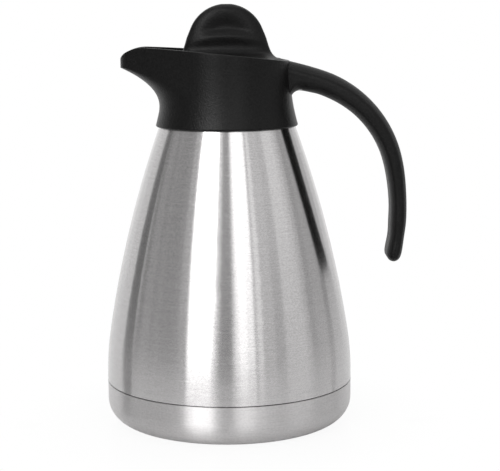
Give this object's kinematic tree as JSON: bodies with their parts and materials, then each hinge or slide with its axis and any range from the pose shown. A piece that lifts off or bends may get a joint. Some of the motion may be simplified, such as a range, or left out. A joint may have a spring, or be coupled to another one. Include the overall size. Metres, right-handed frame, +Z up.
{
  "type": "vacuum jug",
  "caption": "Insulated steel jug with a tapering brushed body, a black collar and pouring spout, an open-ended black handle and a screw stopper with an upright grip.",
  "frame": {"origin": "centre of the standing ring, on the floor under the body's axis", "axes": "+Z up along the body's axis, +X towards the handle, -X towards the spout"},
  "size_m": [0.1662, 0.136, 0.2298],
  "materials": {
    "steel_body": "brushed round the axis",
    "steel_base": "brushed round the axis",
    "steel_liner": "plain rolled steel",
    "seal_metal": "brazed",
    "getter_metal": "pressed powder",
    "silicone": "soft, slightly glossy",
    "insert_plastic": "satin moulding",
    "collar_plastic": "fine satin grain",
    "handle_plastic": "fine satin grain",
    "cover_plastic": "satin moulding",
    "stopper_plastic": "fine satin grain",
    "plug_plastic": "satin moulding",
    "foam": "foamed",
    "screw_steel": "plain"
  },
  "bodies": {
    "vessel": {"outer_shell": "steel_body", "base_cup": "steel_base", "inner_vessel": "steel_liner", "vacuum_bottom": "steel_liner", "seal_tip": "seal_metal", "getter_cup": "screw_steel", "getter_pellet": "getter_metal", "neck_gasket": "silicone", "neck_insert": "insert_plastic", "collar": "collar_plastic", "handle_shell": "handle_plastic", "handle_cover": "cover_plastic", "handle_screw_left": "screw_steel", "handle_screw_right": "screw_steel"},
    "seal_ring": {"stopper_seal": "silicone"},
    "stopper": {"stopper_cap": "stopper_plastic", "stopper_plug": "plug_plastic", "stopper_base": "plug_plastic", "stopper_foam": "foam", "stopper_oring": "silicone", "stopper_screw_left": "screw_steel", "stopper_screw_right": "screw_steel"}
  },
  "joints": [
    {"name": "stopper_rise", "type": "slide", "parent": "vessel", "child": "seal_ring", "axis": [0, 0, 1], "range_m": [0, 0.008]},
    {"name": "stopper_turn", "type": "hinge", "parent": "seal_ring", "child": "stopper", "pos_m": [0, 0, 0.19], "axis": [0, 0, 1], "range_deg": [0, 360]}
  ],
  "couplings": [
    {"joint": "stopper_rise", "follows": "stopper_turn", "m_per_rad": 0.0012732}
  ]
}
